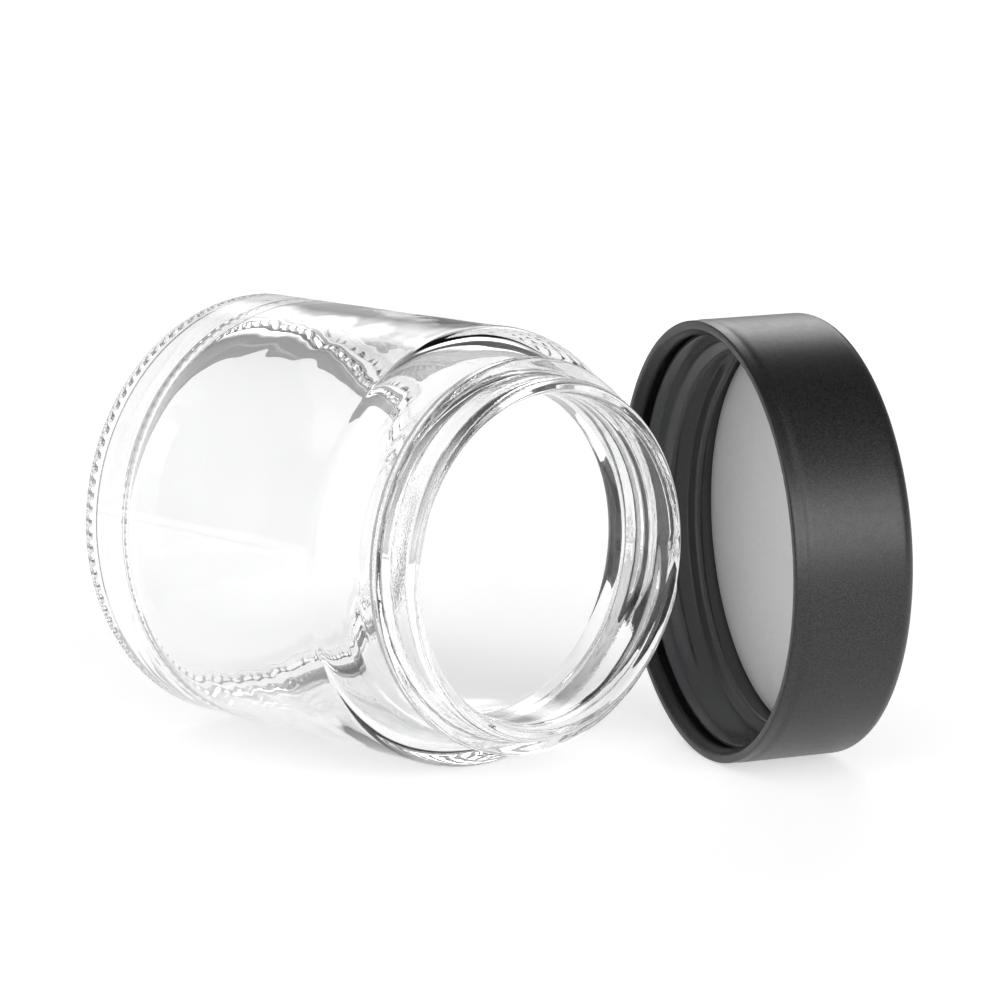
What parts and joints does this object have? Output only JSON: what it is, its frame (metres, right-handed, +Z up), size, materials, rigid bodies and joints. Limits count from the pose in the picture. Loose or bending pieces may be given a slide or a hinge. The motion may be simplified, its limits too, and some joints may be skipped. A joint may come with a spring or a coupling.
{
  "type": "specimen jar",
  "caption": "Wide-mouth clear glass jar lying on its side, with its push-and-turn screw lid standing open beside the mouth.",
  "frame": {"origin": "on the table, under the centre of the whole object's box", "axes": "+X along the jar's axis from its foot to its mouth, +Y across the jar towards the lid, +Z up"},
  "size_m": [0.1022, 0.0797, 0.06],
  "materials": {
    "clear_glass": "clear, moulded",
    "matte_black_plastic": "fine matte",
    "dark_grey_plastic": "satin",
    "pale_foam": "smooth closed-cell foam"
  },
  "bodies": {
    "jar": {"glass_jar": "clear_glass"},
    "liner": {"foam_liner": "pale_foam"},
    "threaded_cap": {"inner_shell": "dark_grey_plastic"},
    "overcap": {"outer_shell": "matte_black_plastic"}
  },
  "joints": [
    {"name": "lid_swing", "type": "hinge", "parent": "jar", "child": "liner", "pos_m": [-0.004, 0.00836, 0.03], "axis": [0, 0, 1], "range_deg": [-69.3, 0]},
    {"name": "lid_turn", "type": "hinge", "parent": "liner", "child": "threaded_cap", "pos_m": [0.01743, 0.01355, 0.03], "axis": [0.3535, 0.9354, 0], "continuous": true},
    {"name": "push_down", "type": "slide", "parent": "threaded_cap", "child": "overcap", "axis": [-0.3535, -0.9354, 0], "range_m": [0, 0.0009], "stiffness_N_per_m": 5000}
  ]
}
